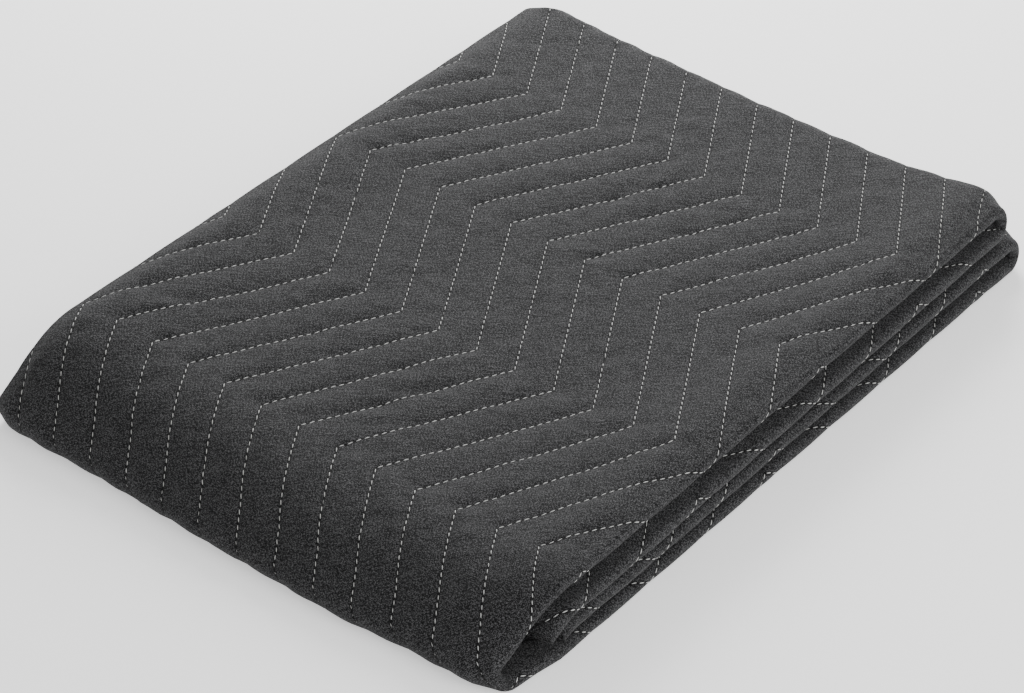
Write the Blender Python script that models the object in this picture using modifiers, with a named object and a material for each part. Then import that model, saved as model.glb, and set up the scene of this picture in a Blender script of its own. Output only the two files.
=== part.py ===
"""A quilted moving blanket, folded in four across its width and then in four along its length.

The blanket is one sheet. It is laid out flat, cut along its fold lines and its zigzag quilting,
then every point is carried to its place in the folded stack, and the sheet is given its loft.

Folded frame: X runs across the folded blanket (noses of the cross folds at +X), Y runs along it
(the outer fold, the spine, at -Y), Z is up and the stack rests on Z = 0. Metres.
"""

import math
from collections import namedtuple

import bmesh
import bpy

MM = 0.001

# The cloth
LOFT = 1.9 * MM                # thickness where layers press on it
PUFF = 2.5 * MM                # thickness between two seams where the quilting is free to rise
SEAM = 0.8 * MM                # thickness at a seam
PINCH = 1.4 * MM               # thickness in a tight fold
FADE = 8.0 * MM                # length over which the quilting fades out
PITCH_LOOSE = 3.35 * MM        # from one layer to the next where the stack is airy
PITCH_FOLD = 3.1 * MM          # round the far folds
PITCH_TIGHT = 2.4 * MM         # and where the spine and the ends press it together

# The quilting: zigzag seams side by side across the blanket
SEAM_SPACING = 28.5 * MM
WAVE_SWING = 62.2 * MM         # sideways reach of a zigzag
WAVE_RISE = 115.4 * MM         # length of the arms that lean one way
WAVE_FALL = 109.8 * MM         # and of those that lean the other way

# The folded stack, measured from the seam corner nearest the spine
HEIGHT = 50.0 * MM             # at its plump long edges
LAYER_LEFT = -31.0 * MM        # centre of the fold at the left edge
LAYER_RIGHT = 338.0 * MM       # centre of the nested folds at the right edge
FREE_EDGE_INSET = 3.0 * MM     # the hems lie back from the left fold
FAR_UPPER = 425.5 * MM         # centres of the two folds at the far end
FAR_LOWER = 433.5 * MM
MIDDLE_GAP = 0.6 * MM          # between the two halves of the stack
FAR_RADIUS = (HEIGHT / 2 - MIDDLE_GAP / 2) / 2
EDGE_START = 322.0 * MM        # where each run begins to thin towards its nose
EDGE_PITCH = 2.4 * MM          # from one layer to the next at the noses

# The spine: the top run eases down, slopes, and turns under in a tight nose
EASE_START = -5.0 * MM
EASE_RADIUS = 78.0 * MM
SLOPE = math.radians(42)
NOSE_RADIUS = 9.85 * MM
SLOPE_DROP = HEIGHT - EASE_RADIUS * (1 - math.cos(SLOPE)) - NOSE_RADIUS * (1 + math.cos(SLOPE))
SLOPE_LENGTH = SLOPE_DROP / math.sin(SLOPE)
NOSE_CENTRE = EASE_START + (NOSE_RADIUS - EASE_RADIUS) * math.sin(SLOPE)
NOSE_CENTRE -= SLOPE_LENGTH * math.cos(SLOPE)

# The two free ends inside the spine
TAIL = 7.0 * MM                # straight cloth at each free end
SETTLE = 70.0 * MM             # length over which tight layers loosen
BOTTOM_SETTLE = 35.0 * MM
UPPER_TAIL = 12.0 * MM
UPPER_END = -39.0 * MM
UPPER_DROOP = math.radians(20)
UPPER_RADIUS = 45.0 * MM
LOWER_START = -10.0 * MM
LOWER_DROOP = math.radians(15)
LOWER_RADIUS = 45.0 * MM
SECOND_RUN = FAR_UPPER - SETTLE - UPPER_END
SECOND_RUN -= UPPER_TAIL * math.cos(UPPER_DROOP) + UPPER_RADIUS * math.sin(UPPER_DROOP)

# The spine and the far folds draw back at their corners. Drawing back grows along the blanket
# between these places.
NEAR_START = 20.0 * MM
NEAR_FULL = -50.0 * MM
FAR_START = FAR_UPPER - SETTLE
FAR_FULL = FAR_UPPER

# The right edge of the spine is tucked in, more and more between these places.
TUCK_START = 200.0 * MM
TUCK_FULL = 300.0 * MM

# The origin is the middle of the footprint
MIDDLE_X = 160.3 * MM
MIDDLE_Y = 185.5 * MM

# The stack from left to right: its height as a share of HEIGHT, plump at the edges and pressed
# in the middle, and how far the spine and the far folds draw back.
Slice = namedtuple("Slice", "x height near far")
SLICES = [
    Slice(LAYER_LEFT, 0.93, 4.5 * MM, 4.5 * MM),
    Slice(-16.0 * MM, 1.0, 0.0, 0.0),
    Slice(45.0 * MM, 0.918, 0.0, 0.0),
    Slice(232.0 * MM, 0.838, 0.0, 0.0),
    Slice(288.0 * MM, 0.905, 4.0 * MM, 0.0),
    Slice(EDGE_START, 0.995, 6.0 * MM, 0.0),
    Slice(LAYER_RIGHT, 1.0, 9.5 * MM, 7.0 * MM),
]

# The sheet's width from hem to hem. Layers are numbered from a run's outside inwards, 0 to 3.
Across = namedtuple("Across", "name layer_from layer_to start end steps")
HEM = LAYER_LEFT + FREE_EDGE_INSET
ACROSS = [
    Across("third layer", 2, 2, HEM, LAYER_RIGHT, 0),
    Across("inner nose", 2, 1, LAYER_RIGHT, LAYER_RIGHT, 3),
    Across("second layer", 1, 1, LAYER_RIGHT, LAYER_LEFT, 0),
    Across("left fold", 1, 0, LAYER_LEFT, LAYER_LEFT, 4),
    Across("outer layer", 0, 0, LAYER_LEFT, LAYER_RIGHT, 0),
    Across("outer nose", 0, 3, LAYER_RIGHT, LAYER_RIGHT, 6),
    Across("fourth layer", 3, 3, LAYER_RIGHT, HEM, 0),
]

# The sheet's length from end to end, followed along the outside of the stack. Turns are to the
# left, in degrees. The last four columns hold at a section's end: the layer pitch, how far the
# run stands out to the right, how far its right edge is tucked in, and the layer that stays level
# where the run thins to its nose.
Along = namedtuple("Along", "name length turn steps pitch stand tuck level")
ALONG = [
    Along("upper tail", UPPER_TAIL, 0, 1, PITCH_TIGHT, 6.0 * MM, 0, 0),
    Along("upper droop", UPPER_RADIUS * UPPER_DROOP, -20, 2, 2.6 * MM, 6.0 * MM, 0, 0),
    Along("upper settle", SETTLE, 0, 1, PITCH_LOOSE, 7.0 * MM, 0, 0),
    Along("second run", SECOND_RUN, 0, 1, PITCH_FOLD, 5.0 * MM, 0, 0),
    Along("far upper fold", FAR_RADIUS * math.pi, 180, 6, PITCH_FOLD, 0.0, 0, 3),
    Along("top run", FAR_UPPER - SETTLE, 0, 1, PITCH_LOOSE, 0.0, 0, 3),
    Along("top settle", SETTLE - EASE_START, 0, 1, 3.0 * MM, 0.0, 0, 3),
    Along("spine ease", EASE_RADIUS * SLOPE, 42, 4, PITCH_TIGHT, 0.0, 4.5 * MM, 3),
    Along("spine slope", SLOPE_LENGTH, 0, 1, PITCH_TIGHT, -2.0 * MM, 6.0 * MM, 3),
    Along("spine nose", NOSE_RADIUS * (math.pi - SLOPE), 138, 5, PITCH_TIGHT, 0.0, 0, 0),
    Along("bottom settle", BOTTOM_SETTLE, 0, 1, PITCH_LOOSE, 5.0 * MM, 0, 0),
    Along("bottom run", FAR_LOWER - NOSE_CENTRE - BOTTOM_SETTLE, 0, 1, PITCH_FOLD, 11.0 * MM, 0, 0),
    Along("far lower fold", FAR_RADIUS * math.pi, 180, 6, PITCH_FOLD, 8.0 * MM, 0, 3),
    Along("third run", FAR_LOWER - SETTLE, 0, 1, PITCH_LOOSE, 6.0 * MM, 0, 3),
    Along("lower settle", SETTLE - LOWER_START, 0, 1, 2.7 * MM, 6.0 * MM, 0, 3),
    Along("lower droop", LOWER_RADIUS * LOWER_DROOP, 15, 2, PITCH_TIGHT, 6.0 * MM, 0, 3),
    Along("lower tail", TAIL, 0, 1, PITCH_TIGHT, 6.0 * MM, 0, 3),
]

CLOTH_COLOUR = (0.032, 0.033, 0.035, 1.0)
MERGE = 1e-7
SNAP = 0.1 * MM                # a cut that passes this near a corner of a cell goes through it
PRESS = 0.05 * MM              # the underside is level to within this, and pressed flat


def mix(a, b, share):
    return a + (b - a) * share


def limit(x):
    return min(max(x, 0.0), 1.0)


# ---- the folds ----

def section_length(row):
    """How much of the sheet's width a straight layer or a nose of ACROSS takes."""
    if row.layer_from == row.layer_to:
        return abs(row.end - row.start)
    return math.pi * abs(row.layer_to - row.layer_from) / 2 * EDGE_PITCH


def starts(lengths):
    """Where each section starts on the flat sheet, and where the last one ends."""
    total = [0.0]
    for length in lengths:
        total.append(total[-1] + length)
    return total


ACROSS_STARTS = starts([section_length(row) for row in ACROSS])
ALONG_STARTS = starts([row.length for row in ALONG])
NAMES_ACROSS = [row.name for row in ACROSS]
NAMES_ALONG = [row.name for row in ALONG]


def path_starts():
    """Position and heading at the start of each section of the sheet's length."""
    z = HEIGHT / 2 + MIDDLE_GAP / 2
    z -= UPPER_TAIL * math.sin(UPPER_DROOP) + UPPER_RADIUS * (1 - math.cos(UPPER_DROOP))
    place = [(UPPER_END, z, UPPER_DROOP)]
    for row in ALONG:
        place.append(advance(*place[-1], row, row.length))
    return place


def advance(y, z, heading, row, distance):
    """The point and heading reached after a distance along a straight or round section."""
    if row.turn == 0:
        return y + distance * math.cos(heading), z + distance * math.sin(heading), heading
    radius = row.length / math.radians(row.turn)
    new = heading + distance / radius
    y += radius * (math.sin(new) - math.sin(heading))
    z -= radius * (math.cos(new) - math.cos(heading))
    return y, z, new


PATH_STARTS = path_starts()


def find(stations, x):
    """The section that holds x, and how far into it x lies."""
    last = len(stations) - 2
    index = 0
    while index < last and x > stations[index + 1]:
        index += 1
    return index, x - stations[index]


def across(s):
    """Place across the stack and layer number, for a point s from the hem of the flat sheet."""
    index, distance = find(ACROSS_STARTS, s)
    row = ACROSS[index]
    share = limit(distance / section_length(row))
    if row.layer_from == row.layer_to:
        return mix(row.start, row.end, share), float(row.layer_from)
    side = 1 if row.start == LAYER_RIGHT else -1
    reach = abs(row.layer_to - row.layer_from) / 2 * EDGE_PITCH
    layer = mix(row.layer_from, row.layer_to, (1 - math.cos(share * math.pi)) / 2)
    return row.start + side * reach * math.sin(share * math.pi), layer


def along(t):
    """Outside point, heading, pitch, stand, tuck and level layer at t from the sheet's end."""
    index, distance = find(ALONG_STARTS, t)
    row, before = ALONG[index], ALONG[max(index - 1, 0)]
    share = limit(distance / row.length)
    y, z, heading = advance(*PATH_STARTS[index], row, distance)
    pitch = mix(before.pitch, row.pitch, share)
    stand = mix(before.stand, row.stand, share)
    tuck = mix(before.tuck, row.tuck, share)
    level = mix(before.level, row.level, share)
    return y, z, heading, pitch, stand, tuck, level


def slice_at(x):
    """The stack's values at x, on the straight lines between SLICES."""
    index, distance = find([row.x for row in SLICES], x)
    low, high = SLICES[index], SLICES[index + 1]
    share = limit(distance / (high.x - low.x))
    return Slice(*(mix(a, b, share) for a, b in zip(low, high)))


def fold(s, t):
    """The place in the folded stack of the point (s, t) of the flat sheet's middle surface."""
    x, layer = across(s)
    y, z, heading, pitch, stand, tuck, level = along(t)
    edge_pitch = mix(pitch, EDGE_PITCH, limit((x - EDGE_START) / (LAYER_RIGHT - EDGE_START)))
    depth = LOFT / 2 + pitch * level + edge_pitch * (layer - level)
    depth -= max(thickness(s, t) - LOFT, 0.0) / 2
    y -= depth * math.sin(heading)
    z += depth * math.cos(heading)
    here = slice_at(x)
    z = mix(LOFT / 2, z, here.height)
    y += here.near * limit((y - NEAR_START) / (NEAR_FULL - NEAR_START))
    y -= here.far * limit((y - FAR_START) / (FAR_FULL - FAR_START))
    x += stand - tuck * limit((x - TUCK_START) / (TUCK_FULL - TUCK_START))
    return x - MIDDLE_X, y - MIDDLE_Y, z


# ---- the flat sheet and its quilting ----

OUTER = NAMES_ACROSS.index("outer layer")
FOURTH = NAMES_ACROSS.index("fourth layer")
OUTER_START, OUTER_END = ACROSS_STARTS[OUTER], ACROSS_STARTS[OUTER + 1]
SEAM_ZERO = OUTER_START - LAYER_LEFT           # on the flat sheet, the seam through x = 0
EDGE_WIDTH = LAYER_RIGHT - EDGE_START
CORNER_ROW = ALONG_STARTS[NAMES_ALONG.index("spine ease")] + EASE_START
TOP_START = ALONG_STARTS[NAMES_ALONG.index("far upper fold")]
NOSE = NAMES_ALONG.index("spine nose")
TOP_END = ALONG_STARTS[NOSE] + ALONG[NOSE].length * 3 / ALONG[NOSE].steps


def swing(t):
    """How far the zigzag seams stand to the side at t."""
    phase = (CORNER_ROW - t) % (WAVE_RISE + WAVE_FALL)
    if phase < WAVE_RISE:
        return WAVE_SWING * phase / WAVE_RISE
    return WAVE_SWING * (1 - (phase - WAVE_RISE) / WAVE_FALL)


def corner_rows():
    """Where along the sheet the zigzags turn, from its first end to its last."""
    rows = [CORNER_ROW]
    while rows[0] > 0:
        rows.insert(0, rows[0] - (WAVE_RISE if len(rows) % 2 else WAVE_FALL))
    down = 1
    while rows[-1] < ALONG_STARTS[-1]:
        rows.append(rows[-1] + (WAVE_FALL if down % 2 else WAVE_RISE))
        down += 1
    return rows


def in_tight_fold(s):
    """Inside a fold that takes the sheet from one layer to the very next."""
    index, distance = find(ACROSS_STARTS, s)
    inside = MERGE < distance < section_length(ACROSS[index]) - MERGE
    return inside and NAMES_ACROSS[index] in ("inner nose", "left fold")


def straight_stretches():
    """Start and end along the sheet of each stretch without a bend."""
    stretches = []
    for row, start in zip(ALONG, ALONG_STARTS):
        if row.turn:
            continue
        if stretches and abs(stretches[-1][1] - start) < MERGE:
            stretches[-1] = (stretches[-1][0], start + row.length)
        else:
            stretches.append((start, start + row.length))
    return stretches


STRETCHES = straight_stretches()


def quilting(s, t):
    """How much the quilting shows, from 0 to 1: on top, and along the right noses."""
    top = min(s - OUTER_START, OUTER_END - s, t - TOP_START, TOP_END - t)
    nose = min(s - OUTER_END, ACROSS_STARTS[FOURTH] - s) + EDGE_WIDTH
    nose = min(nose, max(min(t - start, end - t) for start, end in STRETCHES))
    return limit(max(top, nose) / FADE)


def cut(mesh, point, normal, wanted=None):
    """Cuts the wanted faces along a line of the flat sheet."""
    faces = [f for f in mesh.faces if wanted is None or wanted(f.calc_center_median())]
    edges = {e for f in faces for e in f.edges}
    verts = {v for f in faces for v in f.verts}
    bmesh.ops.bisect_plane(
        mesh, geom=[*verts, *edges, *faces], dist=SNAP, plane_co=point, plane_no=normal,
    )


def cut_folds(mesh):
    """Cuts the sheet where it bends: columns across its width, rows along its length."""
    columns, rows = set(), set()
    for index, row in enumerate(ACROSS):
        start, length = ACROSS_STARTS[index], section_length(row)
        if row.steps:
            columns.update(start + length * step / row.steps for step in range(row.steps + 1))
        else:
            forward = 1 if row.end > row.start else -1
            low, high = min(row.start, row.end), max(row.start, row.end)
            inside = [place.x for place in SLICES if low + MERGE < place.x < high - MERGE]
            columns.update(start + (x - row.start) * forward for x in inside)
    for index, row in enumerate(ALONG):
        start = ALONG_STARTS[index]
        rows.update(start + row.length * step / row.steps for step in range(row.steps + 1))
    for s in sorted(columns):
        if MERGE < s < ACROSS_STARTS[-1] - MERGE:
            cut(mesh, (s, 0, 0), (1, 0, 0))
    for t in sorted(rows):
        if MERGE < t < ALONG_STARTS[-1] - MERGE:
            cut(mesh, (0, t, 0), (0, 1, 0))


def cut_quilting(mesh):
    """Cuts the zigzag seams, and the crests between them, where the quilting shows."""
    rows = corner_rows()
    for t in rows:
        cut(mesh, (0, t, 0), (0, 1, 0), lambda c: quilting(c.x, c.y) > 0)
    for low, high in zip(rows, rows[1:]):
        lean = swing(high) - swing(low)
        middle = (low + high) / 2
        halves = range(2 * math.floor(-SEAM_ZERO / SEAM_SPACING), 200)
        for half in halves:
            s = SEAM_ZERO + half * SEAM_SPACING / 2 + swing(low)
            if max(s, s + lean) < OUTER_START or min(s, s + lean) > ACROSS_STARTS[-1]:
                continue
            cut(
                mesh, (s, low, 0), (high - low, -lean, 0),
                lambda c: low < c.y < high and quilting(c.x, c.y) > 0,
            )


def thickness(s, t):
    """The sheet's thickness: seams and free puffs on the outside, pressed cloth elsewhere."""
    if in_tight_fold(s):
        return PINCH
    phase = ((s - SEAM_ZERO - swing(t)) / SEAM_SPACING) % 1.0
    x = s - SEAM_ZERO
    inside = min(x - SLICES[1].x, EDGE_START - x, t - TOP_START, TOP_END - t)
    crest = mix(LOFT, PUFF, limit(inside / FADE))
    return mix(LOFT, mix(SEAM, crest, min(phase, 1 - phase) * 2), quilting(s, t))


def split_cells(mesh):
    """Splits each plain cell the same way in every layer, so that the layers nest."""
    for face in [f for f in mesh.faces if quilting(*f.calc_center_median().xy) == 0]:
        corners = list(face.verts)
        reach = [across(vert.co.x)[0] + vert.co.y for vert in corners]
        low, high = reach.index(min(reach)), reach.index(max(reach))
        bmesh.utils.face_split(face, corners[low], corners[high])


def flat_sheet():
    mesh = bmesh.new()
    bmesh.ops.create_grid(mesh, x_segments=1, y_segments=1, size=0.5)
    width, length = ACROSS_STARTS[-1], ALONG_STARTS[-1]
    for vert in mesh.verts:
        vert.co.x = (vert.co.x + 0.5) * width
        vert.co.y = (vert.co.y + 0.5) * length
    cut_folds(mesh)
    split_cells(mesh)
    cut_quilting(mesh)
    bmesh.ops.triangulate(mesh, faces=mesh.faces)
    return mesh


# ---- the blanket ----

def cloth_material():
    material = bpy.data.materials.new("charcoal cloth")
    material.use_nodes = True
    shader = material.node_tree.nodes["Principled BSDF"]
    shader.inputs["Base Color"].default_value = CLOTH_COLOUR
    shader.inputs["Roughness"].default_value = 0.92
    shader.inputs["Metallic"].default_value = 0.0
    material.diffuse_color = CLOTH_COLOUR
    return material


def make_blanket(collection):
    sheet = flat_sheet()
    thick = [thickness(vert.co.x, vert.co.y) for vert in sheet.verts]
    for vert in sheet.verts:
        vert.co = fold(vert.co.x, vert.co.y)
    data = bpy.data.meshes.new("moving_blanket")
    sheet.to_mesh(data)
    sheet.free()
    blanket = bpy.data.objects.new("moving_blanket", data)
    collection.objects.link(blanket)
    data.materials.append(cloth_material())
    group = blanket.vertex_groups.new(name="thickness")
    for index, value in enumerate(thick):
        group.add([index], (value - SEAM) / (PUFF - SEAM), "REPLACE")
    solidify = blanket.modifiers.new("thickness", "SOLIDIFY")
    solidify.thickness = PUFF
    solidify.offset = 0.0
    solidify.vertex_group = group.name
    solidify.thickness_vertex_group = SEAM / PUFF
    press_flat(blanket)
    return blanket


def press_flat(blanket):
    """Applies the thickness and presses the underside flat on what it rests on."""
    graph = bpy.context.evaluated_depsgraph_get()
    pressed = bpy.data.meshes.new_from_object(blanket.evaluated_get(graph))
    blanket.modifiers.clear()
    blanket.data = pressed
    for vert in pressed.vertices:
        if vert.co.z < PRESS:
            vert.co.z = 0.0


def main():
    for item in list(bpy.data.objects):
        bpy.data.objects.remove(item)
    collection = bpy.data.collections.new("moving blanket")
    bpy.context.scene.collection.children.link(collection)
    make_blanket(collection)


main()
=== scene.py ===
"""A quilted moving blanket folded into a flat stack, its zigzag stitching, and a plain stage.

The cloth is one flat sheet that is cut finely along its seams and then folded by the same rule
as its solid: in four across its width, then in four along its length. The stitches are laid out
on the flat sheet too and carried along. Metres; X across the folded blanket, Y along it, Z up.
"""

import math
from collections import namedtuple

import bmesh
import bpy
from bpy.props import FloatProperty, FloatVectorProperty, IntProperty, PointerProperty
from mathutils import Matrix, Vector, noise


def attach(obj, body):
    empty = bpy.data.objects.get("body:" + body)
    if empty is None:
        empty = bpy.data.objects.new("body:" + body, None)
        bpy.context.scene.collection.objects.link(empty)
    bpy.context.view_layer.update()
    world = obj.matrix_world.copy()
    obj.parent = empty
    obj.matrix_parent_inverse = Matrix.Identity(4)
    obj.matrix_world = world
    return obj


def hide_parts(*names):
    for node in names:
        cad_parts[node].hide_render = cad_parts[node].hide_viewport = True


bl_info = {
    "name": "Folded moving blanket",
    "version": (1, 0, 0),
    "blender": (4, 5, 0),
    "location": "3D View > Sidebar > Blanket",
    "description": "Makes the cloth, the stitching and the stage of a folded moving blanket",
    "category": "Add Mesh",
}

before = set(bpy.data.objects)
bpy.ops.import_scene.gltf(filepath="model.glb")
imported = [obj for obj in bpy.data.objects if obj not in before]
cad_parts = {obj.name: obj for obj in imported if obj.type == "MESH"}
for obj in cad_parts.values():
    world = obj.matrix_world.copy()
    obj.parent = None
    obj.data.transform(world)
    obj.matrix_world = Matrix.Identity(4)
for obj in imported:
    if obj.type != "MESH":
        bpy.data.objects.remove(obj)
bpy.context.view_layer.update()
CAD_NODE = "moving_blanket"

MM = 0.001

# ---- sizes of the folded stack, as in its solid ----

HEIGHT = 50.0 * MM             # at its plump long edges
LOFT = 1.9 * MM                # thickness where layers press on it
PINCH = 1.5 * MM               # thickness in a tight fold
PITCH_LOOSE = 3.35 * MM        # from one layer to the next where the stack is airy
PITCH_FOLD = 3.1 * MM          # round the far folds
PITCH_TIGHT = 2.4 * MM         # and where the spine and the ends press it together
EDGE_PITCH = 2.4 * MM          # from one layer to the next at the noses
MIDDLE_GAP = 0.6 * MM          # between the two halves of the stack

SEAM_SPACING = 28.5 * MM
WAVE_SWING = 62.2 * MM         # sideways reach of a zigzag
WAVE_RISE = 115.4 * MM         # length of the arms that lean one way
WAVE_FALL = 109.8 * MM         # and of those that lean the other way
WAVE = WAVE_RISE + WAVE_FALL

LAYER_LEFT = -31.0 * MM        # centre of the fold at the left edge
LAYER_RIGHT = 338.0 * MM       # centre of the nested folds at the right edge
EDGE_START = 322.0 * MM        # where each run begins to thin towards its nose
HEM = LAYER_LEFT + 3.0 * MM    # the hems lie back from the left fold
FAR_UPPER = 425.5 * MM         # centres of the two folds at the far end
FAR_LOWER = 433.5 * MM
FAR_RADIUS = (HEIGHT / 2 - MIDDLE_GAP / 2) / 2

# The spine: the top run eases down, slopes, and turns under in a tight nose.
EASE_START = -5.0 * MM
EASE_RADIUS = 78.0 * MM
SLOPE = math.radians(42)
NOSE_RADIUS = 9.85 * MM
SLOPE_DROP = HEIGHT - EASE_RADIUS * (1 - math.cos(SLOPE)) - NOSE_RADIUS * (1 + math.cos(SLOPE))
SLOPE_LENGTH = SLOPE_DROP / math.sin(SLOPE)
NOSE_CENTRE = EASE_START + (NOSE_RADIUS - EASE_RADIUS) * math.sin(SLOPE)
NOSE_CENTRE -= SLOPE_LENGTH * math.cos(SLOPE)

# The two free ends inside the spine
TAIL = 7.0 * MM                # straight cloth at the lower end
SETTLE = 70.0 * MM             # length over which tight layers loosen
BOTTOM_SETTLE = 35.0 * MM
UPPER_TAIL = 12.0 * MM
UPPER_END = -39.0 * MM
UPPER_DROOP = math.radians(20)
UPPER_RADIUS = 45.0 * MM
LOWER_START = -10.0 * MM
LOWER_DROOP = math.radians(15)
LOWER_RADIUS = 45.0 * MM
SECOND_RUN = FAR_UPPER - SETTLE - UPPER_END
SECOND_RUN -= UPPER_TAIL * math.cos(UPPER_DROOP) + UPPER_RADIUS * math.sin(UPPER_DROOP)
BOTTOM_RUN = FAR_LOWER - NOSE_CENTRE - BOTTOM_SETTLE

# Between these places the spine and the far folds draw back more and more, and so does the
# tuck in the spine's right edge.
NEAR_START, NEAR_FULL = 20.0 * MM, -50.0 * MM
FAR_START, FAR_FULL = FAR_UPPER - SETTLE, FAR_UPPER
TUCK_START, TUCK_FULL = 200.0 * MM, 300.0 * MM

# The place in the stack that the part has as its origin
MIDDLE_X, MIDDLE_Y = 160.3 * MM, 185.5 * MM

# The stack from left to right: its height as a share of HEIGHT, and how far the spine and the
# far folds draw back.
Slice = namedtuple("Slice", "x height near far")
SLICES = [
    Slice(LAYER_LEFT, 0.93, 4.5 * MM, 4.5 * MM),
    Slice(-16.0 * MM, 1.0, 0.0, 0.0),
    Slice(45.0 * MM, 0.918, 0.0, 0.0),
    Slice(232.0 * MM, 0.838, 0.0, 0.0),
    Slice(288.0 * MM, 0.905, 4.0 * MM, 0.0),
    Slice(EDGE_START, 0.995, 6.0 * MM, 0.0),
    Slice(LAYER_RIGHT, 1.0, 9.5 * MM, 7.0 * MM),
]

# The sheet's width from hem to hem. Layers count from a run's outside inwards, 0 to 3.
Across = namedtuple("Across", "name layer_from layer_to start end steps")
ACROSS = [
    Across("third layer", 2, 2, HEM, LAYER_RIGHT, 9),
    Across("inner nose", 2, 1, LAYER_RIGHT, LAYER_RIGHT, 4),
    Across("second layer", 1, 1, LAYER_RIGHT, LAYER_LEFT, 9),
    Across("left fold", 1, 0, LAYER_LEFT, LAYER_LEFT, 7),
    Across("outer layer", 0, 0, LAYER_LEFT, LAYER_RIGHT, 9),
    Across("outer nose", 0, 3, LAYER_RIGHT, LAYER_RIGHT, 12),
    Across("fourth layer", 3, 3, LAYER_RIGHT, HEM, 9),
]

# The sheet's length along the outside of the stack. Turns are to the left, in degrees. pitch,
# stand (how far the run stands out to the right), tuck (how far its right edge is tucked in) and
# level (the layer that stays level where the run thins to its nose) hold at a section's end.
Along = namedtuple("Along", "name length turn steps pitch stand tuck level")
ALONG = [
    Along("upper tail", UPPER_TAIL, 0, 3, PITCH_TIGHT, 6.0 * MM, 0, 0),
    Along("upper droop", UPPER_RADIUS * UPPER_DROOP, -20, 4, 2.6 * MM, 6.0 * MM, 0, 0),
    Along("upper settle", SETTLE, 0, 4, PITCH_LOOSE, 7.0 * MM, 0, 0),
    Along("second run", SECOND_RUN, 0, 9, PITCH_FOLD, 5.0 * MM, 0, 0),
    Along("far upper fold", FAR_RADIUS * math.pi, 180, 12, PITCH_FOLD, 0.0, 0, 3),
    Along("top run", FAR_UPPER - SETTLE, 0, 9, PITCH_LOOSE, 0.0, 0, 3),
    Along("top settle", SETTLE - EASE_START, 0, 4, 3.0 * MM, 0.0, 0, 3),
    Along("spine ease", EASE_RADIUS * SLOPE, 42, 8, PITCH_TIGHT, 0.0, 4.5 * MM, 3),
    Along("spine slope", SLOPE_LENGTH, 0, 3, PITCH_TIGHT, -2.0 * MM, 6.0 * MM, 3),
    Along("spine nose", NOSE_RADIUS * (math.pi - SLOPE), 138, 12, PITCH_TIGHT, 0.0, 0, 0),
    Along("bottom settle", BOTTOM_SETTLE, 0, 3, PITCH_LOOSE, 5.0 * MM, 0, 0),
    Along("bottom run", BOTTOM_RUN, 0, 9, PITCH_FOLD, 11.0 * MM, 0, 0),
    Along("far lower fold", FAR_RADIUS * math.pi, 180, 12, PITCH_FOLD, 8.0 * MM, 0, 3),
    Along("third run", FAR_LOWER - SETTLE, 0, 9, PITCH_LOOSE, 6.0 * MM, 0, 3),
    Along("lower settle", SETTLE - LOWER_START, 0, 4, 2.7 * MM, 6.0 * MM, 0, 3),
    Along("lower droop", LOWER_RADIUS * LOWER_DROOP, 15, 3, PITCH_TIGHT, 6.0 * MM, 0, 3),
    Along("lower tail", TAIL, 0, 2, PITCH_TIGHT, 6.0 * MM, 0, 3),
]


def mix(a, b, share):
    """From a to b as share goes from 0 to 1."""
    return a + (b - a) * share


def limit(x):
    """x, kept between 0 and 1."""
    return min(max(x, 0.0), 1.0)


def smooth(x):
    """An S-curve from 0 to 1."""
    x = limit(x)
    return x * x * (3 - 2 * x)


# ---- folding ----


def section_length(row):
    """Length along the sheet of a row of ACROSS."""
    if row.layer_from == row.layer_to:
        return abs(row.end - row.start)
    return math.pi * abs(row.layer_to - row.layer_from) / 2 * EDGE_PITCH


def starts(lengths):
    """Where each of the sections begins, and where the last one ends."""
    total = [0.0]
    for length in lengths:
        total.append(total[-1] + length)
    return total


ACROSS_STARTS = starts([section_length(row) for row in ACROSS])
ALONG_STARTS = starts([row.length for row in ALONG])


def across_start(name):
    """Where across the sheet a row of ACROSS begins."""
    return ACROSS_STARTS[[row.name for row in ACROSS].index(name)]


def along_span(name):
    """Where along the sheet a row of ALONG begins and ends."""
    index = [row.name for row in ALONG].index(name)
    return ALONG_STARTS[index], ALONG_STARTS[index + 1]


def advance(y, z, heading, row, distance):
    """Point and heading after a distance along a row of ALONG."""
    if row.turn == 0:
        return y + distance * math.cos(heading), z + distance * math.sin(heading), heading
    radius = row.length / math.radians(row.turn)
    new = heading + distance / radius
    y += radius * (math.sin(new) - math.sin(heading))
    z -= radius * (math.cos(new) - math.cos(heading))
    return y, z, new


def path_starts():
    """Outside point and heading at the start of each row of ALONG."""
    z = HEIGHT / 2 + MIDDLE_GAP / 2
    z -= UPPER_TAIL * math.sin(UPPER_DROOP) + UPPER_RADIUS * (1 - math.cos(UPPER_DROOP))
    place = [(UPPER_END, z, UPPER_DROOP)]
    for row in ALONG:
        place.append(advance(*place[-1], row, row.length))
    return place


PATH_STARTS = path_starts()


def find(stations, x):
    """Number of the section that x is in, and how far into it."""
    last = len(stations) - 2
    index = 0
    while index < last and x > stations[index + 1]:
        index += 1
    return index, x - stations[index]


SLICE_XS = [row.x for row in SLICES]


def slice_at(x, key):
    """A column of SLICES at x, on a smooth curve through its rows."""
    index, distance = find(SLICE_XS, x)
    low, high = SLICES[index], SLICES[index + 1]
    span = high.x - low.x
    share = limit(distance / span)
    before, after = SLICES[max(index - 1, 0)], SLICES[min(index + 2, len(SLICES) - 1)]
    a, b = getattr(low, key), getattr(high, key)
    rise_a = (b - getattr(before, key)) / (high.x - before.x) * span
    rise_b = (getattr(after, key) - a) / (after.x - low.x) * span
    square, cube = share ** 2, share ** 3
    return (
        a * (2 * cube - 3 * square + 1) + rise_a * (cube - 2 * square + share)
        + b * (3 * square - 2 * cube) + rise_b * (cube - square)
    )


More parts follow.
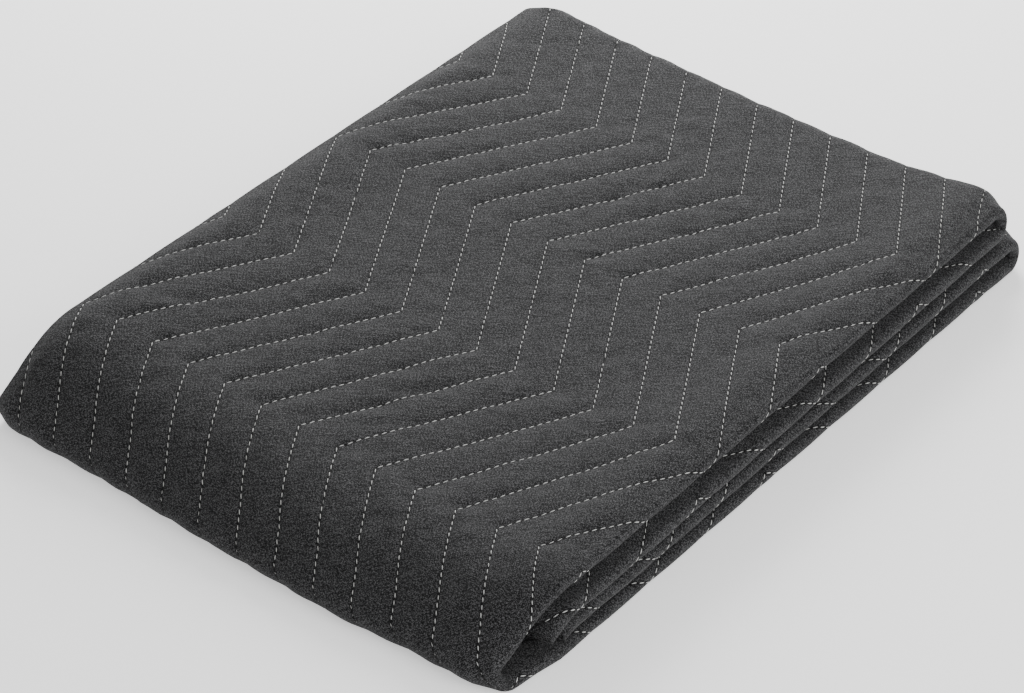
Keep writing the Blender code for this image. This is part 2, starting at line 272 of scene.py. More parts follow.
def across(s, level):
    """Place across the stack and layer number at s from the hem of the flat sheet."""
    index, distance = find(ACROSS_STARTS, s)
    row = ACROSS[index]
    share = limit(distance / section_length(row))
    if row.layer_from == row.layer_to:
        return mix(row.start, row.end, share), float(row.layer_from)
    side = 1 if row.start == LAYER_RIGHT else -1
    reach = abs(row.layer_to - row.layer_from) / 2 * EDGE_PITCH
    layer = mix(row.layer_from, row.layer_to, (1 - math.cos(share * math.pi)) / 2)
    return row.start + side * reach * math.sin(share * math.pi), layer


def along(t):
    """Outside point, heading, pitch, stand, tuck and level layer at t from the sheet's end."""
    index, distance = find(ALONG_STARTS, t)
    row, before = ALONG[index], ALONG[max(index - 1, 0)]
    share = limit(distance / row.length)
    y, z, heading = advance(*PATH_STARTS[index], row, distance)
    pitch = mix(before.pitch, row.pitch, share)
    stand = mix(before.stand, row.stand, share)
    tuck = mix(before.tuck, row.tuck, share)
    level = mix(before.level, row.level, share)
    return y, z, heading, pitch, stand, tuck, level


def fold(s, t, relief=0.0):
    """The place in the folded stack of the point (s, t) of the flat sheet's middle surface."""
    y, z, heading, pitch, stand, tuck, level = along(t)
    x, layer = across(s, level)
    edge = smooth((x - EDGE_START) / (LAYER_RIGHT - EDGE_START))
    depth = LOFT / 2 + pitch * level + mix(pitch, EDGE_PITCH, edge) * (layer - level) - relief
    y -= depth * math.sin(heading)
    z += depth * math.cos(heading)
    z = mix(LOFT / 2, z, slice_at(x, "height"))
    y += slice_at(x, "near") * smooth((y - NEAR_START) / (NEAR_FULL - NEAR_START))
    y -= slice_at(x, "far") * smooth((y - FAR_START) / (FAR_FULL - FAR_START))
    x += stand - tuck * smooth((x - TUCK_START) / (TUCK_FULL - TUCK_START))
    return Vector((x - MIDDLE_X, y - MIDDLE_Y, z))


# ---- quilting ----

WIDTH, LENGTH = ACROSS_STARTS[-1], ALONG_STARTS[-1]
LEFT_FOLD = across_start("left fold")
OUTER_START, OUTER_END = across_start("outer layer"), across_start("outer nose")
FOURTH = across_start("fourth layer")
SEAM_ZERO = OUTER_START - LAYER_LEFT
CORNER_ROW = along_span("spine ease")[0] + EASE_START
TOP_START, TOP_END = along_span("far upper fold")[0], along_span("spine nose")[1]
BOTTOM_END = along_span("far lower fold")[1]
PUFF_SHAPE = 2.4               # how steeply a puff rises from its seam
TAUT_SPANS = [along_span(name) for name in ("far upper fold", "spine nose", "far lower fold")]
TAUT_REACH = 8 * MM            # how far the stretch runs on beyond a fold
TAUT_PUFF, TAUT_SEAM = 0.6, 0.5  # shares of the puff and of the seam's dip that it takes away


def swing(t):
    """How far the zigzag seams stand to the side at t."""
    phase = (CORNER_ROW - t) % WAVE
    if phase < WAVE_RISE:
        return WAVE_SWING * phase / WAVE_RISE
    return WAVE_SWING * (1 - (phase - WAVE_RISE) / WAVE_FALL)


def corner_rows():
    """Where along the sheet the zigzags turn."""
    rows, count = [CORNER_ROW], 0
    while rows[0] > 0:
        rows.insert(0, rows[0] - (WAVE_FALL if count % 2 else WAVE_RISE))
        count += 1
    count = 0
    while rows[-1] < LENGTH:
        rows.append(rows[-1] + (WAVE_RISE if count % 2 else WAVE_FALL))
        count += 1
    return rows


def seam_distance(s, t):
    """Distance across the sheet to the nearest seam, and that seam's number."""
    place = (s - SEAM_ZERO - swing(t)) / SEAM_SPACING
    return abs(place - round(place)) * SEAM_SPACING, round(place)


def puff(s, t):
    """The pillow between two seams, from 0 on a seam to 1 on its crest."""
    distance, _ = seam_distance(s, t)
    return 1 - (1 - distance / (SEAM_SPACING / 2)) ** PUFF_SHAPE


def taut(t):
    """How tightly the quilting is stretched at t, over the far folds and round the spine."""
    stretched = 0.0
    for start, end in TAUT_SPANS:
        begun = smooth((t - start + TAUT_REACH) / (2 * TAUT_REACH))
        left = smooth((end + TAUT_REACH - t) / (2 * TAUT_REACH))
        stretched = max(stretched, begun * left)
    return stretched


# The way the top's wrinkles run, and the length and width of those at the seams' corners
DRAG = Vector((0.78, 0.63))
PULL_LENGTH = 42 * MM
PULL_WIDTH = 3.6 * MM
PULL_MEAN = 0.75               # mean strength of one; noise adds to it
PULL_START = 0.15              # share of its length over which one begins
PULL_RIDGE = (0.7, -1.6)       # height and place of the ridge beside it

# Unevenness of the top: the length and width of its patches, and a number that sets it apart
Uneven = namedtuple("Uneven", "length width layer")
WRINKLES = Uneven(34 * MM, 9 * MM, 3.1)
WRINKLED = Uneven(70 * MM, 70 * MM, 5.9)
WAVES = Uneven(60 * MM, 75 * MM, 8.7)
# Strength of the wrinkles where there are fewest, and how much it grows elsewhere
LEAST_WRINKLED, MORE_WRINKLED = 0.35, 1.6
# How far the puckers reach from a seam, and the length and width of one
PUCKER_REACH, PUCKER_LENGTH, PUCKER_WIDTH = 5 * MM, 6 * MM, 40 * MM
# Steps through the noise from one seam or one row of corners to the next, so that none repeats
PUCKER_SEAM_STEP = 7.3
PULL_SEAM_STEP, PULL_ROW_STEP, PULL_LAYER = 3.7, 5.3, 2.1
RELIEF_FADE = 14 * MM          # over this length the relief dies out at the edges of the top

# Soft creases on the top, from one place to another, with their width and depth
CREASE_FADE = 0.3              # they fade out over this share of their length past each end
CREASE_FADE_LENGTH = 0.5
CREASE_REACH = 4               # widths to the side beyond which nothing is left of one
CREASE_RIDGE = (0.6, 1.7)
Crease = namedtuple("Crease", "x_from y_from x_to y_to width depth")
CREASES = [
    Crease(146 * MM, 250 * MM, 150 * MM, 338 * MM, 5.0 * MM, 1.1 * MM),
    Crease(36 * MM, 350 * MM, 42 * MM, 398 * MM, 5.0 * MM, 0.7 * MM),
    Crease(1 * MM, 106 * MM, 6 * MM, 142 * MM, 4.5 * MM, 0.6 * MM),
    Crease(154 * MM, 352 * MM, 174 * MM, 388 * MM, 5.0 * MM, 0.6 * MM),
    Crease(293 * MM, 200 * MM, 313 * MM, 226 * MM, 5.0 * MM, 0.8 * MM),
    Crease(166 * MM, 106 * MM, 190 * MM, 146 * MM, 5.5 * MM, 0.6 * MM),
    Crease(238 * MM, 343 * MM, 254 * MM, 392 * MM, 5.0 * MM, 0.6 * MM),
    Crease(60 * MM, 300 * MM, 84 * MM, 330 * MM, 5.0 * MM, 0.6 * MM),
]


def trough(aside, ridge, ridge_place):
    """A trough with a lower ridge beside it, in widths to the side."""
    return math.exp(-aside ** 2) - ridge * math.exp(-(aside - ridge_place) ** 2)


def crease_depth(x, y):
    """How deep the creases go at a place on the top."""
    total = 0.0
    for row in CREASES:
        ahead = Vector((row.x_to - row.x_from, row.y_to - row.y_from))
        here = Vector((x - row.x_from, y - row.y_from))
        share = here.dot(ahead) / ahead.length_squared
        aside = here.cross(ahead) / ahead.length / row.width
        before, after = share + CREASE_FADE, 1 + CREASE_FADE - share
        if before > 0 and after > 0 and abs(aside) < CREASE_REACH:
            fade = smooth(before / CREASE_FADE_LENGTH) * smooth(after / CREASE_FADE_LENGTH)
            total += row.depth * fade * trough(aside, *CREASE_RIDGE)
    return total


def corner_pull(s, t):
    """Short wrinkles that start at the corners of the seams, from 0 to about 1 deep."""
    waves, phase = divmod(CORNER_ROW - t, WAVE)
    total = 0.0
    for corner, stand in ((0.0, 0.0), (WAVE_RISE, WAVE_SWING), (WAVE, 0.0)):
        y = phase - corner
        if abs(y) > PULL_LENGTH:
            continue
        x = s - SEAM_ZERO - stand
        nearest = math.floor(x / SEAM_SPACING)
        for number in (nearest, nearest - 1):
            dx = x - number * SEAM_SPACING
            ahead = (DRAG.x * dx + DRAG.y * y) / PULL_LENGTH
            if 0 < ahead < 1:
                aside = (DRAG.y * dx - DRAG.x * y) / PULL_WIDTH
                row = waves + corner / WAVE_RISE
                place = Vector((number * PULL_SEAM_STEP, row * PULL_ROW_STEP, PULL_LAYER))
                strength = PULL_MEAN + noise.noise(place)
                fade = smooth(ahead / PULL_START) * (1 - smooth(ahead))
                total += strength * fade * trough(aside, *PULL_RIDGE)
    return total


def uneven(x, y, kind):
    """Noise of one kind, drawn out to its length and width."""
    return noise.noise(Vector((x / kind.length, y / kind.width, kind.layer)))


def relief(s, t, quilt):
    """How far the outside of the top stands out: puffs, puckers, creases and slow unevenness."""
    inside = min(s - OUTER_START, OUTER_END - s, t - TOP_START, TOP_END - t) / RELIEF_FADE
    if inside <= 0:
        return 0.0
    x, y = s - SEAM_ZERO, CORNER_ROW - t
    distance, number = seam_distance(s, t)
    place = Vector((number * PUCKER_SEAM_STEP, t / PUCKER_LENGTH, s / PUCKER_WIDTH))
    pucker = noise.noise(place) * math.exp(-distance / PUCKER_REACH)
    drag = uneven(DRAG.x * x + DRAG.y * y, DRAG.y * x - DRAG.x * y, WRINKLES)
    drag *= LEAST_WRINKLED + MORE_WRINKLED * abs(uneven(x, y, WRINKLED))
    rise = quilt.puff_rise * puff(s, t) * (1 - TAUT_PUFF * taut(t))
    rise += quilt.pucker_depth * pucker + quilt.wrinkle_depth * drag
    rise += quilt.wave_depth * uneven(s, t, WAVES) - quilt.pull_depth * corner_pull(s, t)
    return rise * limit(inside) - crease_depth(x, y)


def thickness(s, t, quilt):
    """The sheet's thickness at a point: thin on a seam, full on a puff."""
    index, distance = find(ACROSS_STARTS, s)
    crest = LOFT
    if ACROSS[index].name in ("inner nose", "left fold"):
        share = distance / section_length(ACROSS[index])
        crest = mix(LOFT, PINCH, math.sin(share * math.pi))
    seam = mix(quilt.seam_thickness, crest, TAUT_SEAM * taut(t))
    return mix(seam, crest, puff(s, t))


# ---- the flat sheet ----

WELD = 0.05 * MM               # points this near each other are one point
MERGE = 1e-3 * MM              # rows this near each other are one row
DEGENERATE = 0.02 * MM         # edges shorter than this are dissolved
FINE, MEDIUM, COARSE = 4.2 * MM, 8.4 * MM, 14.0 * MM
STRIP = 18.0 * MM              # how much of the cloth beside the right noses shows
FOLD_STRIP = 8.0 * MM          # and beside the left fold

# The parts of the sheet that show, with the spacing of their rows and where columns lie beside
# each seam
Zone = namedtuple("Zone", "low high start end row_step offsets")
BESIDE_SEAMS = [x * MM for x in (-8.6, -4.6, -1.7, 0.0, 1.7, 4.6, 8.6, 14.25)]
BESIDE_PLAIN_SEAMS = [x * MM for x in (-4.6, 0.0, 4.6, 14.25)]
ZONES = [
    Zone(OUTER_START, OUTER_END, TOP_START, TOP_END, FINE, BESIDE_SEAMS),
    Zone(OUTER_START, OUTER_END, TOP_END, BOTTOM_END, COARSE, BESIDE_PLAIN_SEAMS),
    Zone(OUTER_END, FOURTH + STRIP, 0.0, LENGTH, FINE, BESIDE_SEAMS),
    Zone(OUTER_END - STRIP, OUTER_END, 0.0, TOP_START, FINE, BESIDE_SEAMS),
    Zone(OUTER_END - STRIP, OUTER_END, BOTTOM_END, LENGTH, FINE, BESIDE_SEAMS),
    Zone(LEFT_FOLD - FOLD_STRIP, OUTER_START, 0.0, LENGTH, MEDIUM, BESIDE_PLAIN_SEAMS),
]


def cut(mesh, faces, lines):
    """Cuts the faces along lines that lie side by side, the middle line first."""
    if not lines or not faces:
        return
    middle = len(lines) // 2
    point, normal = lines[middle]
    edges = {e for f in faces for e in f.edges}
    verts = {v for f in faces for v in f.verts}
    result = bmesh.ops.bisect_plane(
        mesh, geom=[*verts, *edges, *faces], dist=WELD, plane_co=point, plane_no=normal,
    )
    sides = ([], [])
    along_normal = Vector(normal)
    level = along_normal.dot(point)
    for item in result["geom"]:
        if isinstance(item, bmesh.types.BMFace):
            sides[along_normal.dot(item.calc_center_median()) > level].append(item)
    cut(mesh, sides[0], lines[:middle])
    cut(mesh, sides[1], lines[middle + 1:])


def faces_within(mesh, zone, start, end):
    """The faces of a zone that lie between two rows."""
    found = []
    for face in mesh.faces:
        centre = face.calc_center_bounds()
        if zone.low < centre.x < zone.high and start < centre.y < end:
            found.append(face)
    return found


def fold_columns():
    """Lines along the sheet, at the steps of its folds across and the sides of its zones."""
    places = {side for zone in ZONES for side in (zone.low, zone.high)}
    for start, row in zip(ACROSS_STARTS, ACROSS):
        places.update(start + section_length(row) * i / row.steps for i in range(row.steps))
    return [((s, 0, 0), (1, 0, 0)) for s in sorted(places) if MERGE < s < WIDTH - MERGE]


def fold_rows(low, high):
    """Lines across the sheet, at the steps of its folds along and the ends of its zones."""
    places = {side for zone in ZONES for side in (zone.start, zone.end)}
    for start, row in zip(ALONG_STARTS, ALONG):
        places.update(start + row.length * i / row.steps for i in range(row.steps))
    return [((0, t, 0), (0, 1, 0)) for t in sorted(places) if low + MERGE < t < high - MERGE]


def even_rows(low, high, step):
    """Rows at an even spacing close to step, between low and high."""
    steps = max(round((high - low) / step), 1)
    return [((0, mix(low, high, i / steps), 0), (0, 1, 0)) for i in range(1, steps)]


def seam_lines(zone, low, high):
    """Lines on and beside the seams, in a band whose zigzags turn at low and high."""
    lean = swing(high) - swing(low)
    first = math.floor((zone.low - SEAM_ZERO - WAVE_SWING) / SEAM_SPACING) - 1
    last = math.ceil((zone.high - SEAM_ZERO) / SEAM_SPACING) + 1
    lines = []
    for number in range(first, last + 1):
        for offset in zone.offsets:
            s = SEAM_ZERO + number * SEAM_SPACING + offset + swing(low)
            if max(s, s + lean) > zone.low and min(s, s + lean) < zone.high:
                lines.append(((s, low, 0), (high - low, -lean, 0)))
    return lines


def flat_band(turn, next_turn):
    """One band of the flat sheet, between two rows where its zigzags turn."""
    low, high = max(turn, 0.0), min(next_turn, LENGTH)
    mesh = bmesh.new()
    # A square with sides of 1, moved so that its corner is at the origin and then stretched
    bmesh.ops.create_grid(mesh, x_segments=1, y_segments=1, size=0.5)
    bmesh.ops.translate(mesh, verts=mesh.verts, vec=(0.5, 0.5, 0))
    bmesh.ops.scale(mesh, verts=mesh.verts, vec=(WIDTH, high - low, 1))
    bmesh.ops.translate(mesh, verts=mesh.verts, vec=(0, low, 0))
    cut(mesh, mesh.faces[:], fold_columns())
    cut(mesh, mesh.faces[:], fold_rows(low, high))
    for zone in ZONES:
        start, end = max(low, zone.start), min(high, zone.end)
        if start < end:
            rows = even_rows(start, end, zone.row_step)
            cut(mesh, faces_within(mesh, zone, start, end), rows)
            lines = seam_lines(zone, turn, next_turn)
            cut(mesh, faces_within(mesh, zone, start, end), lines)
    return mesh


def flat_sheet():
    """The whole sheet, flat and cut finely where its folds and seams need it."""
    sheet = bmesh.new()
    turns = corner_rows()
    for turn, next_turn in zip(turns, turns[1:]):
        band = flat_band(turn, next_turn)
        data = bpy.data.meshes.new("band")
        band.to_mesh(data)
        band.free()
        sheet.from_mesh(data)
        bpy.data.meshes.remove(data)
    joins = [v for v in sheet.verts if min(abs(v.co.y - turn) for turn in turns) < MERGE]
    bmesh.ops.remove_doubles(sheet, verts=joins, dist=WELD)
    bmesh.ops.dissolve_degenerate(sheet, dist=DEGENERATE, edges=sheet.edges)
    bmesh.ops.triangulate(sheet, faces=[f for f in sheet.faces if len(f.verts) > 4])
    return sheet


def store_flat_map(mesh):
    """Keeps each point's place on the flat sheet, in metres, as the UV map of the weave."""
    layer = mesh.loops.layers.uv.new("flat")
    for face in mesh.faces:
        for loop in face.loops:
            loop[layer].uv = loop.vert.co.xy


# ---- materials ----

# The cloth's texture on the flat sheet. Sizes are in noise cells per metre, or per pitch of the
# weave; a share below 1 draws the noise out into strokes.
THREADS_PER_PITCH, THREAD_STROKE = 3.0, 0.32
MOTTLE, MOTTLE_SHARE = 120.0, 0.12
STREAK, STREAK_STROKE, STREAK_SHARE = 480.0, 0.2, 0.16
CROSSING_SHARE = 0.06
TONE_LOW, TONE_HIGH = 0.60, 0.79
CROSSING_HEIGHT, STREAK_HEIGHT, TEXTURE_DEPTH = 0.15, 0.8, 0.5 * MM
# Painted shade along each seam: the cloth's colour is darkest out to the first of these
# distances from the seam, and back to full at the second.
SEAM_SHADE_CORE, SEAM_SHADE_REACH = 0.3 * MM, 1.4 * MM
TWIST, TWIST_DEPTH = 900.0, 0.1 * MM
MIX_FROM, MIX_TO, MIX_RESULT = 6, 7, 2  # the colour sockets of a Mix node


class Nodes:
    """Adds nodes to a material and links them."""

    def __init__(self, name):
        self.material = bpy.data.materials.new(name)
        self.material.use_nodes = True
        self.tree = self.material.node_tree
        self.shader = self.tree.nodes["Principled BSDF"]

    def add(self, kind, inputs=(), **values):
        """Adds a node, gives it its values and sets or links its inputs."""
        node = self.tree.nodes.new(kind)
        for key, value in values.items():
            setattr(node, key, value)
        for key, value in dict(inputs).items():
            if isinstance(value, bpy.types.NodeSocket):
                self.tree.links.new(value, node.inputs[key])
            else:
                node.inputs[key].default_value = value
        return node

    def math(self, operation, a, b=0.0):
        """A sum or the like of two numbers or sockets."""
        return self.add("ShaderNodeMath", {0: a, 1: b}, operation=operation).outputs[0]

    def add_share(self, a, b, share):
        """a plus a share of b."""
        return self.math("ADD", a, self.math("MULTIPLY", b, share))

    def shade(self, **values):
        """Sets or links inputs of the shader, named as in Blender with _ for a space."""
        for key, value in values.items():
            socket = self.shader.inputs[key.replace("_", " ")]
            if isinstance(value, bpy.types.NodeSocket):
                self.tree.links.new(value, socket)
            else:
                socket.default_value = value


def seam_aside(nodes, flat):
    """Distance to the nearest seam, worked out from the flat sheet's own map."""
    back = nodes.math("SUBTRACT", CORNER_ROW, flat.outputs[1])
    phase = nodes.math("FLOORED_MODULO", back, WAVE)
    rising = nodes.math("DIVIDE", phase, WAVE_RISE)
    falling = nodes.math("DIVIDE", nodes.math("SUBTRACT", WAVE, phase), WAVE_FALL)
    stand = nodes.math("MULTIPLY", nodes.math("MINIMUM", rising, falling), WAVE_SWING)
    place = nodes.math("SUBTRACT", nodes.math("SUBTRACT", flat.outputs[0], SEAM_ZERO), stand)
    return nodes.math("PINGPONG", place, SEAM_SPACING / 2)


def cloth_material(quilt):
    """Charcoal plain weave: uneven threads that pass over and under, streaks and mottling, and
    painted shade along each seam.
    """
    nodes = Nodes("charcoal cloth")
    flat = nodes.add("ShaderNodeUVMap", uv_map="flat").outputs[0]

    def cells(scale, stretch=(1.0, 1.0, 1.0), detail=0.0, place=flat):
        mapping = nodes.add("ShaderNodeMapping", {"Vector": place, "Scale": stretch})
        texture = nodes.add(
            "ShaderNodeTexNoise",
            {"Vector": mapping.outputs[0], "Scale": scale, "Detail": detail, "Roughness": 0.6},
        )
        return texture.outputs[0]

    split = nodes.add("ShaderNodeSeparateXYZ", {0: flat})
    turns = 2 * math.pi / quilt.weave_pitch
    warp_wave = nodes.math("SINE", nodes.math("MULTIPLY", split.outputs[0], turns))
    weft_wave = nodes.math("SINE", nodes.math("MULTIPLY", split.outputs[1], turns))
    crossing = nodes.math("MULTIPLY", warp_wave, weft_wave)
    thread_scale = THREADS_PER_PITCH / quilt.weave_pitch
    warp = cells(thread_scale, (1.0, THREAD_STROKE, 1.0))
    weft = cells(thread_scale, (THREAD_STROKE, 1.0, 1.0))
    mottle = cells(MOTTLE, detail=3.0)
    turned = nodes.add(
        "ShaderNodeVectorRotate", {"Vector": flat, "Angle": math.atan2(DRAG.y, DRAG.x)},
        rotation_type="Z_AXIS",
    )
    streaks = cells(STREAK, (STREAK_STROKE, 1.0, 1.0), 1.0, turned.outputs[0])

    tone = nodes.add_share(nodes.math("MAXIMUM", warp, weft), mottle, MOTTLE_SHARE)
    tone = nodes.add_share(tone, nodes.math("SUBTRACT", streaks, 0.5), STREAK_SHARE)
    tone = nodes.add_share(tone, crossing, CROSSING_SHARE)
    ramp = nodes.add(
        "ShaderNodeMapRange", {"Value": tone, "From Min": TONE_LOW, "From Max": TONE_HIGH}
    )
    mixer = nodes.add("ShaderNodeMix", {"Factor": ramp.outputs[0]}, data_type="RGBA")
    mixer.inputs[MIX_FROM].default_value = (*quilt.cloth_dark, 1)
    mixer.inputs[MIX_TO].default_value = (*quilt.cloth_light, 1)
    # Painted shade: the cloth's colour is darkened along each seam's needle line, standing in
    # for the shade in the seam's crease.
    seam_shade_factor = nodes.add("ShaderNodeMapRange", {
        "Value": seam_aside(nodes, split), "From Min": SEAM_SHADE_CORE,
        "From Max": SEAM_SHADE_REACH, "To Min": quilt.painted_seam_shade, "To Max": 1.0,
    })
    shaded = nodes.add(
        "ShaderNodeVectorMath", {0: mixer.outputs[MIX_RESULT], "Scale": seam_shade_factor.outputs[0]},
        operation="SCALE",
    )

    height = nodes.add_share(tone, crossing, CROSSING_HEIGHT)
    height = nodes.add_share(height, streaks, STREAK_HEIGHT)
    bump = nodes.add(
        "ShaderNodeBump", {"Height": height, "Strength": 0.9, "Distance": TEXTURE_DEPTH}
    )
    nodes.shade(
        Base_Color=shaded.outputs[0], Normal=bump.outputs[0], Roughness=0.9,
        Specular_IOR_Level=0.15, Sheen_Weight=0.06, Sheen_Roughness=0.5,
    )
    return nodes.material


def thread_material(sewing):
    """White thread with its twist."""
    nodes = Nodes("white thread")
    place = nodes.add("ShaderNodeTexCoord").outputs["Object"]
    twist = nodes.add(
        "ShaderNodeTexWave", {"Vector": place, "Scale": TWIST, "Distortion": 1.5},
        wave_type="BANDS", bands_direction="DIAGONAL",
    )
    bump = nodes.add(
        "ShaderNodeBump", {"Height": twist.outputs[1], "Strength": 0.4, "Distance": TWIST_DEPTH}
    )
    colour = (*sewing.thread_colour, 1)
    nodes.shade(Base_Color=colour, Normal=bump.outputs[0], Roughness=0.7)
    return nodes.material


def floor_material(stage):
    """Plain pale floor with a faint light of its own."""
    nodes = Nodes("pale floor")
    colour = (*stage.floor_colour, 1)
    nodes.shade(
        Base_Color=colour, Roughness=0.9, Emission_Color=colour,
        Emission_Strength=stage.floor_light,
    )
    return nodes.material


# ---- settings ----


class QuiltSettings(bpy.types.PropertyGroup):
    """Sizes and colours of the quilted cloth."""

    puff_rise: FloatProperty(
        name="Puff rise", description="How far the cloth rises between two seams",
        default=1.2 * MM, unit="LENGTH",
    )
    seam_thickness: FloatProperty(
        name="Seam thickness", description="Thickness of the cloth at a seam",
        default=0.9 * MM, unit="LENGTH",
    )
    pucker_depth: FloatProperty(
        name="Pucker depth", description="Height of the small puckers beside a seam",
        default=0.5 * MM, unit="LENGTH",
    )
    wrinkle_depth: FloatProperty(
        name="Wrinkle depth", description="Height of the soft wrinkles on the top",
        default=1.3 * MM, unit="LENGTH",
    )
    pull_depth: FloatProperty(
        name="Pull depth", description="Depth of the wrinkles at the corners of the seams",
        default=0.7 * MM, unit="LENGTH",
    )
    wave_depth: FloatProperty(
        name="Wave depth", description="Height of the slow unevenness of the top",
        default=1.2 * MM, unit="LENGTH",
    )
    weave_pitch: FloatProperty(
        name="Weave pitch", description="Distance between two threads of the weave",
        default=1.25 * MM, unit="LENGTH",
    )
    # Painted shade along the seams: how bright the cloth's colour stays on a seam's needle line.
    painted_seam_shade: FloatProperty(
        name="Needle line", description="Brightness of the pressed line under the stitches",
        default=0.25, subtype="FACTOR",
    )
    cloth_dark: FloatVectorProperty(
        name="Cloth, dark", description="Colour between the threads", subtype="COLOR",
        default=(0.006, 0.006, 0.0065), size=3,
    )
    cloth_light: FloatVectorProperty(
        name="Cloth, light", description="Colour on top of the threads", subtype="COLOR",
        default=(0.098, 0.098, 0.101), size=3,
    )


class SewingSettings(bpy.types.PropertyGroup):
    """Sizes and colour of the stitching."""

    stitches_per_arm: IntProperty(
        name="Stitches", description="Stitches in one arm of a zigzag", default=26,
    )
    stitch_share: FloatProperty(
        name="Stitch share", description="Thread that shows, as a share of a stitch's length",
        default=0.72, subtype="FACTOR",
    )
    slant: FloatProperty(
        name="Slant", description="Turn of each stitch out of the line of its seam",
        default=math.radians(6), subtype="ANGLE",
    )
    thread_radius: FloatProperty(
        name="Thread radius", description="Radius of the thread", default=0.33 * MM,
        unit="LENGTH",
    )
    thread_colour: FloatVectorProperty(
        name="Thread colour", description="Colour of the thread", subtype="COLOR",
        default=(0.50, 0.50, 0.49), size=3,
    )


class StageSettings(bpy.types.PropertyGroup):
    """The floor, the light and the camera."""

    floor_colour: FloatVectorProperty(
        name="Floor colour", description="Colour of the plain floor", subtype="COLOR",
        default=(0.93, 0.93, 0.93), size=3,
    )
    floor_light: FloatProperty(
        name="Floor light", description="Faint light that the lit studio floor gives",
        default=0.7, subtype="FACTOR",
    )
    top_light: FloatProperty(
        name="Top light", description="Strength of the soft light above and behind",
        default=46.0, unit="POWER",
    )
    side_light: FloatProperty(
        name="Side light", description="Strength of the soft light from the right",
        default=15.0, unit="POWER",
    )
    sky_light: FloatProperty(
        name="Sky light", description="Strength of the even light all round", default=0.50,
        subtype="FACTOR",
    )
    camera_azimuth: FloatProperty(
        name="Camera azimuth", description="Turn of the camera around the blanket",
        default=math.radians(38.83), subtype="ANGLE",
    )
    camera_elevation: FloatProperty(
        name="Camera elevation", description="Height of the camera above the blanket",
        default=math.radians(38.14), subtype="ANGLE",
    )
    camera_distance: FloatProperty(
        name="Camera distance", description="Distance from the camera to the blanket",
        default=1.706, unit="LENGTH",
    )
    camera_lens: FloatProperty(
        name="Lens", description="Focal length, in millimetres on a 36 mm sensor",
        default=103.96, unit="CAMERA",
    )


# ---- pieces ----


def add_piece(name, mesh, material):
    """Makes a smooth object from a mesh that is then freed."""
    data = bpy.data.meshes.new(name)
    mesh.to_mesh(data)
    mesh.free()
    piece = bpy.data.objects.new(name, data)
    bpy.context.scene.collection.objects.link(piece)
    data.materials.append(material)
    for polygon in data.polygons:
        polygon.use_smooth = True
    return piece


# Stitches lie this far into the cloth, and none lie this near the ends of the sheet.
SUNK = 0.05 * MM
SEWING_END = 6.0 * MM
STITCH_STRIP = 8.0 * MM        # how far beyond the noses the fourth layer's stitches show
STEP = 0.4 * MM                # to the side and ahead, to find which way the cloth faces


def arm_of_stitches(lean, rise, sewing):
    """One straight arm of a zigzag on the flat sheet, as a mesh that starts at the origin."""
    mesh = bmesh.new()
    length = math.hypot(lean, rise) / sewing.stitches_per_arm
    dash = length * sewing.stitch_share
    radius = sewing.thread_radius
    bmesh.ops.create_uvsphere(mesh, u_segments=6, v_segments=4, radius=1.0)
    bmesh.ops.scale(mesh, verts=mesh.verts, vec=(radius, radius, dash / 2))
    bmesh.ops.rotate(mesh, verts=mesh.verts, matrix=Matrix.Rotation(-math.pi / 2, 3, "X"))
    bmesh.ops.rotate(mesh, verts=mesh.verts, matrix=Matrix.Rotation(-sewing.slant, 3, "Z"))
    bmesh.ops.translate(mesh, verts=mesh.verts, vec=(0, length / 2, 0))
    first = mesh.verts[:] + mesh.edges[:] + mesh.faces[:]
    for index in range(1, sewing.stitches_per_arm):
        copy = bmesh.ops.duplicate(mesh, geom=first)["geom"]
        verts = [item for item in copy if isinstance(item, bmesh.types.BMVert)]
        bmesh.ops.translate(mesh, verts=verts, vec=(0, length * index, 0))
    turn = Matrix.Rotation(-math.atan2(lean, rise), 3, "Z")
    bmesh.ops.rotate(mesh, verts=mesh.verts, matrix=turn)
    data = bpy.data.meshes.new("arm")
    mesh.to_mesh(data)
    mesh.free()
    return data


def shows(s, t):
    """Whether a stitch at a point of the flat sheet lies on the outside of the folded stack."""
    if not SEWING_END < t < LENGTH - SEWING_END:
        return False
    if OUTER_END - STRIP < s < FOURTH + STITCH_STRIP:
        return True
    return LEFT_FOLD < s < OUTER_END and TOP_START < t < BOTTOM_END


def stitches(quilt, sewing):
    """Every stitch that shows, laid out on the flat sheet and then carried to the stack."""
    flat = bmesh.new()
    hidden = []
    rows = corner_rows()
    count = sewing.stitches_per_arm
    first = math.floor((LEFT_FOLD - SEAM_ZERO - WAVE_SWING) / SEAM_SPACING)
    last = math.ceil((FOURTH + STRIP - SEAM_ZERO) / SEAM_SPACING)
    for low, high in zip(rows, rows[1:]):
        lean = swing(high) - swing(low)
        arm = arm_of_stitches(lean, high - low, sewing)
        each = len(arm.vertices) // count
        for number in range(first, last + 1):
            s = SEAM_ZERO + number * SEAM_SPACING + swing(low)
            done = len(flat.verts)
            flat.from_mesh(arm)
            flat.verts.ensure_lookup_table()
            new = flat.verts[done:]
            bmesh.ops.translate(flat, verts=new, vec=(s, low, 0))
            for index in range(count):
                share = (index + 0.5) / count
                if not shows(s + lean * share, mix(low, high, share)):
                    hidden += new[index * each:(index + 1) * each]
        bpy.data.meshes.remove(arm)
    bmesh.ops.delete(flat, geom=hidden, context="VERTS")
    for vert in flat.verts:
        s, t, height = vert.co
        rise = relief(s, t, quilt)
        here = fold(s, t, rise)
        aside = fold(s + STEP, t, rise) - here
        ahead = fold(s, t + STEP, rise) - here
        normal = ahead.cross(aside).normalized()
        vert.co = here + normal * (height + quilt.seam_thickness / 2 - SUNK)
    return flat


